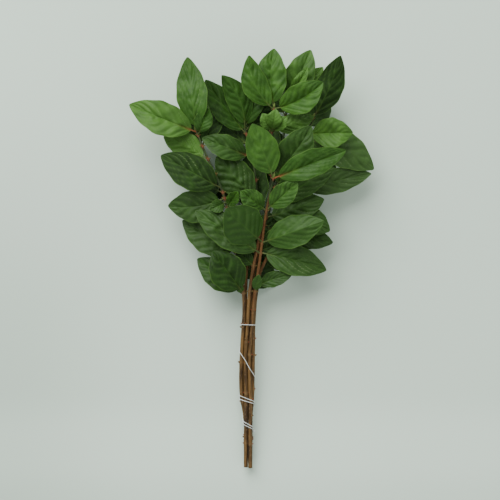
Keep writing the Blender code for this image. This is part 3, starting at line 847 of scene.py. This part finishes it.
def relief(blade, look, t, v):
    """What the fine blade adds to the plain one's height: midrib, side veins, puckers, bowed halves."""
    s = blade.along_blade(t)
    across = np.abs(v)
    width = blade.half_width(t)
    middle = np.sin(math.pi * s)
    between, fade = vein_shares(look, s, v)
    fade = fade * window(across, 0.02, 0.2, 0.72, 1.0) * window(s, 0.0, 0.1, 0.78, 0.98)
    up = VEIN_DEPTH * look.groove * fade
    up = up * (np.sin(0.5 * math.pi * between) ** VEIN_ROUNDING - VEIN_LEVEL)
    plan = blade.plan(t, v)
    drift = np.stack([noise(plan, DRIFT_SIZE, 3), noise(plan, DRIFT_SIZE, 4)], axis=1)
    bent = plan + DRIFT * drift
    puckers = PUCKER_HEIGHT * noise(bent, PUCKER_SIZE, 1)
    puckers += SMALL_PUCKER_HEIGHT * look.groove * noise(bent, SMALL_PUCKER_SIZE, 2)
    up = up + middle * (1 - across**4) * puckers
    up = up - MIDRIB_DEPTH * (1 - 0.75 * s) * hump(v * width, MIDRIB_WIDTH)
    up = up + BOW * blade.leaf.fold * width * across * (1 - across)
    return up + RIPPLE_HEIGHT * across**6 * middle * np.sin(31 * s + blade.phase + 2 * v)


def fine_surface(blade, look, t, v):
    """Points of the fine blade's middle surface, with a margin that wobbles a little."""
    s = blade.along_blade(t)
    wobble = np.sin(23 * s + 1.7 * blade.phase + np.where(v > 0, 2.0, 0.0))
    points = blade.surface(t, v * (1 + MARGIN_WOBBLE * np.abs(v) ** 3 * wobble))
    points[:, 2] += relief(blade, look, t, v)
    return points


def fine_normals(blade, look, t, v):
    """The directions square to the fine blade's middle surface."""
    step = NORMAL_STEP
    ahead = fine_surface(blade, look, t + step, v) - fine_surface(blade, look, t - step, v)
    aside = fine_surface(blade, look, t, v + step) - fine_surface(blade, look, t, v - step)
    normals = np.cross(ahead, aside)
    return normals / np.linalg.norm(normals, axis=1)[:, None]


def add_blade(piece, blade, look):
    """A leaf's thin blade with a keel under its midrib."""
    share = np.linspace(0.0, 1.0, ROWS_ALONG)
    share = (1 - CROWDING) * share + CROWDING * (0.5 - 0.5 * np.cos(math.pi * share))
    rows = blade.start + (1 - blade.start) * BLADE_END * share
    columns = np.array([-v for v in HALF_COLUMNS[:0:-1]] + list(HALF_COLUMNS))
    t, v = (grid.ravel() for grid in np.meshgrid(rows, columns, indexing="ij"))
    s = blade.along_blade(t)
    across = np.abs(v)
    side = v * blade.half_width(t)
    middle = fine_surface(blade, look, t, v)
    normals = fine_normals(blade, look, t, v)
    half = 0.5 * FINE_THICKNESS * (1 - 0.6 * across**8)
    keel = KEEL * (1 - 0.8 * s) * hump(side, MIDRIB_WIDTH)
    above = middle + half[:, None] * normals
    below = middle - (half + keel)[:, None] * normals
    below[:, 2] = np.maximum(below[:, 2], LOWEST_UNDERSIDE)
    above[:, 2] = np.maximum(above[:, 2], below[:, 2] + PRESSED_THICKNESS)

    count = len(t)
    sheet = grid_faces(len(rows), len(columns))
    rim = grid_rim(len(rows), len(columns))
    after = np.roll(rim, -1)
    band = np.stack([after, rim, rim + count, after + count], axis=1)
    faces = np.concatenate([sheet[:, ::-1], sheet + count, band])

    between, _ = vein_shares(look, s, v)
    vein = hump(between, VEIN_TINT_WIDTH) * window(across, 0.0, 0.1, 0.7, 1.0)
    midrib = hump(side, 0.7) * (1 - 0.9 * s)
    red = look.red * np.exp(-14 * s) * hump(side, 1.4)
    place = (0.0, np.tile(across, 2), np.tile(vein, 2), np.repeat([0.0, 1.0], count))
    looks = (look.tone, look.haze, np.tile(red, 2), np.tile(midrib, 2))
    piece.add(np.concatenate([above, below]), faces, LEAF, place, looks)


def add_petiole(piece, blade, look):
    """A leaf's round stalk, which sinks into the underside of its blade."""
    path = np.linspace(0.0, blade.start + PETIOLE_RUN, PETIOLE_ROWS)
    share = path / path[-1]
    line = fine_surface(blade, look, path, 0 * path)
    beyond = np.clip((path - blade.start) / PETIOLE_RUN, 0, 1)
    line[:, 2] -= 0.35 * beyond + 0.1
    radii = PETIOLE_RADIUS - 0.25 * share - 0.3 * beyond + PETIOLE_FOOT * hump(path * blade.length, 1.8)
    looks = (0.7 * look.tone, look.haze, look.red * (1 - 0.6 * share), 0.15)
    add_tube(piece, line, radii, PETIOLE_SIDES, LEAF, (0.0, 0.5, 0.0, 0.3), looks)


def add_bud(piece, base, direction, length, width, look):
    """A pointed bud, fullest below its middle."""
    shares = np.linspace(0.0, 1.0, BUD_ROWS)
    line = base + np.outer(shares * length, direction / np.linalg.norm(direction))
    radii = 0.5 * width * np.maximum(np.sin(math.pi * (0.18 + 0.82 * shares) ** 0.8), 0.06)
    add_tube(piece, line, radii, BUD_SIDES, LEAF, (0.0, 0.5, 0.0, 0.2), look)


def fine_line(line):
    """The stem's centre line in short steps, smooth through the plain one's points."""
    slopes = np.gradient(line, line[:, 1], axis=0)
    y = np.linspace(line[0, 1], line[-1, 1], int((line[-1, 1] - line[0, 1]) / FINE_STEP))
    i = np.clip(np.searchsorted(line[:, 1], y, side="right") - 1, 0, len(line) - 2)
    span = (line[i + 1, 1] - line[i, 1])[:, None]
    t = (y - line[i, 1])[:, None] / span
    return smooth_between(t, span, line[i], slopes[i], line[i + 1], slopes[i + 1])


def stem_nodes(name):
    """The y of every leaf node of a stem: those that bear leaves, and bare ones lower down."""
    start, _ = stem_ends(name)
    nodes = []
    for y in sorted({leaf.station for leaf in LEAVES[name]}):
        if not nodes or y - nodes[-1] > NODES_APART:
            nodes.append(y)
    step = BARE_NODE_STEPS[list(ROUTES).index(name) % 3]
    return [*np.arange(start + 29, nodes[0] - 20, step), *nodes]


def bark_ridges(y, number):
    """What a stem's bark adds to its radius, as rows along by columns around."""
    angles = angles_round(FINE_SIDES)
    one, other = (
        np.stack(np.meshgrid(y, 4 * wave(angles), indexing="ij"), axis=-1).reshape(-1, 2)
        for wave in (np.cos, np.sin)
    )
    ridges = noise(one / RIDGE_SIZE, 1.0, number) + noise(other / RIDGE_SIZE, 1.0, number + 7)
    knobs = noise(one / KNOB_SIZE, 1.0, number + 3) * noise(other / KNOB_SIZE, 1.0, number + 5)
    return (RIDGE_HEIGHT * ridges + KNOB_HEIGHT * knobs).reshape(len(y), FINE_SIDES)


def add_bark(piece, name, line, nodes):
    """A stem's ridged bark, swollen at its nodes, and its slightly domed cut face."""
    y = line[:, 1]
    start, end = stem_ends(name)
    radii = np.array([stem_radius(name, value) for value in y])
    scar = np.zeros(len(y))
    near = np.zeros(len(y))
    for node in nodes:
        swell = OLD_SWELL if node < YOUNG_FROM else YOUNG_SWELL
        radii += swell * hump(y - node, NODE_WIDTH) + NODE_FOOT * hump(y - node, NODE_FOOT_WIDTH)
        scar += hump(y - node, SCAR_WIDTH)
        near = np.maximum(near, hump(y - node, NODE_WIDTH))
    # where the stem turns to a dark green that is partly painted shade
    green = smooth_step(y, *SHADED_GREEN_FROM.get(name, SHADED_GREEN_ELSEWHERE))
    place = (1 - (y - start) / (end - start), 1.0, np.clip(scar, 0, 1), 0.0)
    ridges = bark_ridges(y, list(ROUTES).index(name))
    add_tube(piece, line, radii, FINE_SIDES, BARK, place, (0, green, near, 0), ridges)

    angles = angles_round(FINE_SIDES)
    tangent = (line[0] - line[1]) / np.linalg.norm(line[0] - line[1])
    side = np.cross(tangent, (0.0, 0.0, 1.0))
    side /= np.linalg.norm(side)
    out = np.cos(angles)[:, None] * side + np.sin(angles)[:, None] * np.cross(side, tangent)
    rings = []
    for share in CUT_RINGS:
        rings.append(line[0] + CUT_DOME * tangent * (1 - share**6) + share * (radii[0] + 0.02) * out)
    faces = [*grid_faces(len(rings), FINE_SIDES, closed=True)[:, ::-1], range(FINE_SIDES)]
    place = (1.0, np.repeat(CUT_RINGS, FINE_SIDES), 0.0, 1.0)
    piece.add(np.concatenate(rings), faces, BARK, place, NOTHING)


def add_node_buds(piece, name, line, nodes):
    """A pair of buds at each node: green and longer on the young wood, brown lower down."""
    for node in nodes:
        young = node > YOUNG_FROM
        length = 2.8 if young else 1.7
        shade = (0.55, 0.1, 0.35, 0.2) if young else (0.1, 0.5, 1.0, 0.0)
        for sign in (-1.0, 1.0):
            aside = sign * np.array([1.0, 0.0, 0.2]) * (stem_radius(name, node) + 0.1)
            spot = point_on(line, node) + aside
            add_bud(piece, spot, np.array([sign, 0.6, 0.35]), length, 1.5, shade)


def add_stubs(piece, name, line):
    """The stubs of a stem's cut side shoots."""
    for stem, y, (x, z) in STUBS:
        if stem == name:
            direction = np.array([x, 0.35, z]) / math.hypot(x, z)
            reach = np.array(STUB_SHARES) * (stem_radius(name, y) + STUB_REACH)
            stub = point_on(line, y) + np.outer(reach, direction)
            add_tube(piece, stub, STUB_RADII, STUB_SIDES, BARK, (0.9, 1.0, 0.6, 0.0))


def add_stem(piece, name, line):
    """A woody stem with nodes, scars, ridged bark, a cut end, buds and stubs."""
    fine = fine_line(line)
    nodes = stem_nodes(name)
    add_bark(piece, name, fine, nodes)
    tip = fine[-1] - fine[-3]
    add_bud(piece, fine[-1] - 0.1 * tip, tip, 7.0, 3.0, (0.8, 0.2, 0.15, 0.3))
    add_node_buds(piece, name, fine, nodes)
    add_stubs(piece, name, fine)


def add_twisted(piece, line, radius, phase=0.0):
    """Two strands twisted round each other along a line."""
    arc = np.concatenate([[0], np.cumsum(np.linalg.norm(np.diff(line, axis=0), axis=1))])
    steps = np.arange(0, arc[-1], STRAND_STEP)
    line = np.stack([np.interp(steps, arc, line[:, k]) for k in range(3)], axis=1)
    first, second = frames_along(line)
    for strand in (0.0, math.pi):
        turn = (2 * math.pi * steps / LAY_LENGTH + phase + strand)[:, None]
        path = line + STRAND_OFFSET * radius * (np.cos(turn) * first + np.sin(turn) * second)
        radii = [STRAND_RADIUS * radius] * len(path)
        add_tube(piece, path, radii, STRAND_SIDES, TWINE)


def knot_line():
    """The closed line of a plain overhand knot."""
    angle = np.linspace(0, 2 * math.pi, 90)
    x = np.sin(angle) + 2 * np.sin(2 * angle)
    y = np.cos(angle) - 2 * np.cos(2 * angle)
    return np.stack([x, y, -np.sin(3 * angle)], axis=1)


def build_twine(lines, material):
    piece = Piece("twine")
    for keys, phase in ((TWINE_DOWN, 0.0), (TWINE_BACK, 1.3)):
        add_twisted(piece, twine_line(lines, keys), TWINE_RADIUS, phase)
    reach = np.linspace(0, 1, 12)[:, None]
    for number, (turns, y) in enumerate(KNOTS):
        centre = twine_point(lines, turns, y, outward=KNOT_OUT)
        add_twisted(piece, centre + knot_line() * KNOT_SCALE, KNOT_TWINE_RADIUS, number)
        tail = centre + LOOSE_LENGTH * reach * LOOSE_WAYS[number] - (0, 0, LOOSE_SAG) * reach**2
        add_twisted(piece, tail, KNOT_TWINE_RADIUS, number)
    piece.build([material], "twine_wrap")


class Nodes:
    """Short names for building a node tree."""

    def __init__(self, name):
        self.material = bpy.data.materials.new(name)
        self.material.use_nodes = True
        self.tree = self.material.node_tree
        self.shader = self.tree.nodes["Principled BSDF"]

    def put(self, socket, value):
        if isinstance(value, bpy.types.NodeSocket):
            self.tree.links.new(value, socket)
        elif value is not None:
            socket.default_value = (*value, 1.0) if socket.type == "RGBA" else value

    def new(self, kind, inputs, **settings):
        """The outputs of a new node with these inputs, by name or number, and settings."""
        node = self.tree.nodes.new("ShaderNode" + kind)
        for name, value in settings.items():
            setattr(node, name, value)
        for key, value in inputs.items():
            self.put(node.inputs[key], value)
        return node.outputs

    def math(self, operation, a, b=None, c=None, clamp=False):
        return self.new("Math", {0: a, 1: b, 2: c}, operation=operation, use_clamp=clamp)[0]

    def mix(self, factor, a, b, blend="MIX"):
        return self.new("Mix", {0: factor, 6: a, 7: b}, data_type="RGBA", blend_type=blend)[2]

    def tint(self, colour, target, where, most):
        """The colour drawn towards the target, by most where the mask is 1."""
        return self.mix(self.math("MULTIPLY", where, most), colour, target)

    def attribute(self, name):
        stored = self.new("Attribute", {}, attribute_name=name)
        return [*self.new("SeparateColor", {0: stored["Color"]}), stored["Alpha"]]

    def object_space(self):
        return self.new("TexCoord", {})["Object"]

    def object_place(self):
        """The x and the y in object space."""
        x, y, _ = self.new("SeparateXYZ", {0: self.object_space()})
        return x, y

    def grey(self, value):
        return self.new("CombineColor", {0: value, 1: value, 2: value})[0]

    def noise(self, scale, detail=3.0, stretch=None, rough=0.5):
        """Noise in object space from 0 to 1, drawn out along an axis whose stretch is under 1."""
        place = self.object_space()
        if stretch is not None:
            place = self.new("Mapping", {"Vector": place, "Scale": stretch})[0]
        inputs = {"Vector": place, "Scale": scale, "Detail": detail, "Roughness": rough}
        return self.new("TexNoise", inputs)["Fac"]

    def cells(self, scale):
        """The distance to the edge of irregular cells."""
        inputs = {"Vector": self.object_space(), "Scale": scale}
        return self.new("TexVoronoi", inputs, feature="DISTANCE_TO_EDGE")["Distance"]

    def spread(self, value, low, high, to_low=0.0, to_high=1.0):
        """A smooth step of the value from low to high, mapped to another range."""
        inputs = {0: value, 1: low, 2: high, 3: to_low, 4: to_high}
        return self.new("MapRange", inputs, interpolation_type="SMOOTHSTEP")[0]

    def bump(self, height, distance, strength):
        inputs = {"Height": height, "Distance": distance, "Strength": strength}
        self.put(self.shader.inputs["Normal"], self.new("Bump", inputs)[0])

    def finish(self, colour, roughness, specular):
        self.put(self.shader.inputs["Base Color"], colour)
        self.put(self.shader.inputs["Roughness"], roughness)
        self.put(self.shader.inputs["Specular IOR Level"], specular)
        return self.material


def leaf_material():
    """Waxy evergreen leaf: dark to bright green by age and by painted shade and light, a grey cast of
    painted sheen, paler veins, rim and underside.
    """
    n = Nodes("viburnum leaf")
    _, across, vein, under = n.attribute("place")
    age, haze, red, midrib = n.attribute("look")
    blotch = n.noise(90.0, 4.0)
    speck = n.noise(420.0)
    # the tone: the leaf's own green by age, partly painted shade and painted light
    tone = n.math("ADD", age, n.math("MULTIPLY", n.math("SUBTRACT", blotch, 0.5), 0.65), clamp=True)
    colour = n.mix(n.spread(tone, 0.0, 0.5), LEAF_OLD_AND_SHADED, LEAF_GROWN)
    colour = n.mix(n.spread(tone, 0.5, 1.0), colour, LEAF_YOUNG)
    # painted sheen: a grey cast where the light's sheen would lie on the leaf
    colour = n.tint(colour, LEAF_SHEEN_HAZE, haze, 0.5)
    colour = n.tint(colour, LEAF_VEIN, vein, 0.19)
    colour = n.tint(colour, LEAF_MIDRIB, midrib, 0.3)
    colour = n.tint(colour, LEAF_RIM, n.spread(across, 0.93, 1.0), 0.65)
    colour = n.tint(colour, LEAF_SPECK, n.spread(speck, 0.35, 0.75), 0.12)
    colour = n.tint(colour, LEAF_UNDERSIDE, under, 0.75)
    colour = n.mix(red, colour, LEAF_RED)
    roughness = n.math("MULTIPLY_ADD", under, 0.25, n.spread(speck, 0.3, 0.7, 0.45, 0.57))
    roughness = n.math("ADD", roughness, n.spread(age, 0.0, 0.25, 0.4, 0.0))
    net = n.math("MULTIPLY", n.math("MINIMUM", n.cells(620.0), 0.12), 3.0)
    n.bump(n.math("MULTIPLY_ADD", speck, 0.8, net), 0.00018, 0.6)
    return n.finish(colour, roughness, 0.15)


def bark_material():
    """Brown bark with tan streaks, redder on young wood, dark green on the upper shoots partly as
    painted shade, with pale scars and a ringed cut face.
    """
    n = Nodes("viburnum bark")
    age, radial, scar, cut = n.attribute("place")
    _, green, node, _ = n.attribute("look")
    streak = n.noise(260.0, 5.0, (1.0, 0.09, 1.0), 0.6)
    fleck = n.noise(700.0, 3.0, (1.0, 0.5, 1.0))
    colour = n.mix(n.spread(streak, 0.34, 0.66), BARK_DARK, BARK_LIGHT)
    colour = n.tint(colour, BARK_FLECK, n.spread(fleck, 0.56, 0.72), 0.5)
    colour = n.tint(colour, BARK_YOUNG, n.spread(age, 0.36, 0.54, 1.0, 0.0), 0.55)
    # the upper shoots: their own green, darkened as painted shade
    shaded_shoot = n.mix(n.spread(streak, 0.35, 0.65), SHADED_SHOOT_DARK, SHADED_SHOOT_LIGHT)
    shaded_shoot = n.tint(shaded_shoot, SHOOT_NODE, node, 0.75)
    colour = n.mix(green, colour, shaded_shoot)
    colour = n.tint(colour, BARK_SCAR, scar, 0.2)
    wood = n.mix(n.spread(radial, 0.15, 0.3), CUT_PITH, CUT_WOOD)
    wood = n.mix(n.spread(radial, 0.84, 0.93), wood, CUT_RIM)
    colour = n.mix(cut, colour, wood)
    n.bump(n.math("MULTIPLY_ADD", fleck, 0.5, streak), 0.0005, 0.8)
    return n.finish(colour, n.spread(streak, 0.3, 0.7, 0.82, 0.6), 0.3)


def twine_material():
    n = Nodes("white twine")
    fibre = n.noise(2600.0)
    colour = n.mix(n.spread(fibre, 0.3, 0.7), TWINE_SHADE, TWINE_WHITE)
    n.bump(fibre, 0.0002, 0.7)
    return n.finish(colour, 0.85, 0.2)


def floor_material():
    """A pale surface, with painted shade at its lower left and painted light in a band along its near
    edge.
    """
    n = Nodes("pale backdrop")
    x, y = n.object_place()
    colour = n.mix(n.spread(n.noise(2.2, 2.0), 0.3, 0.7), FLOOR_DARK, FLOOR_LIGHT)
    # painted shade: darker towards the lower left
    left = n.math("MULTIPLY", n.spread(x, -0.31, -0.1, 1.0, 0.0), n.spread(y, -0.16, 0.3, 1.0, 0.0))
    # painted light: a lighter band along the near edge
    near = n.math("MULTIPLY", n.spread(y, -0.215, -0.155, 1.0, 0.0), n.spread(y, -0.3, -0.24))
    shade = n.math("MULTIPLY_ADD", near, 0.09, n.math("MULTIPLY_ADD", left, -0.15, 0.98))
    return n.finish(n.mix(1.0, colour, n.grey(shade), "MULTIPLY"), 0.75, 0.2)


def build_stage():
    mesh = bpy.data.meshes.new("backdrop")
    corners = [(FLOOR_REACH * x, FLOOR_REACH * y, 0) for x, y in ((-1, -1), (1, -1), (1, 1), (-1, 1))]
    mesh.from_pydata(corners, [], [(0, 1, 2, 3)])
    mesh.materials.append(floor_material())
    floor = put_in_scene("backdrop", mesh)
    for name, spot, size, power in LIGHTS:
        light = bpy.data.lights.new(name, "AREA")
        light.size = size
        light.energy = power
        lamp = put_in_scene(name, light)
        lamp.location = spot
        lamp.rotation_mode = "QUATERNION"
        lamp.rotation_quaternion = (-Vector(spot)).to_track_quat("-Z", "Y")
    world = bpy.data.worlds.new("room")
    world.use_nodes = True
    background = world.node_tree.nodes["Background"]
    background.inputs["Color"].default_value = ROOM
    background.inputs["Strength"].default_value = ROOM_STRENGTH
    bpy.context.scene.world = world


def build_camera():
    data = bpy.data.cameras.new("camera")
    data.sensor_width = SENSOR_WIDTH
    data.lens = SENSOR_WIDTH * CAMERA_DISTANCE / SEEN_WIDTH
    camera = put_in_scene("camera", data)
    camera.location = (*SEEN_MIDDLE, CAMERA_DISTANCE + SEEN_HEIGHT)
    bpy.context.scene.camera = camera


def main():
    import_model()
    lines = {name: stem_line(name) for name in ROUTES}
    blades = [Blade(name, leaf, lines[name]) for name, leaves in LEAVES.items() for leaf in leaves]
    bend_clear(blades, lines)
    materials = [bark_material(), leaf_material()]
    for name, line in lines.items():
        piece = Piece("leafy_stem_" + name + "_fine")
        add_stem(piece, name, line)
        mine = [blade for blade in blades if blade.stem == name]
        # leaves past the list get the default look, whose dark tone is painted shade for the hollows
        hidden = len(mine) - len(LOOKS[name])
        for blade, look in zip(mine, LOOKS[name] + [Look()] * hidden):
            add_blade(piece, blade, look)
            add_petiole(piece, blade, look)
        piece.build(materials, "leafy_stem_" + name)
    build_twine(lines, twine_material())
    build_stage()
    build_camera()


main()
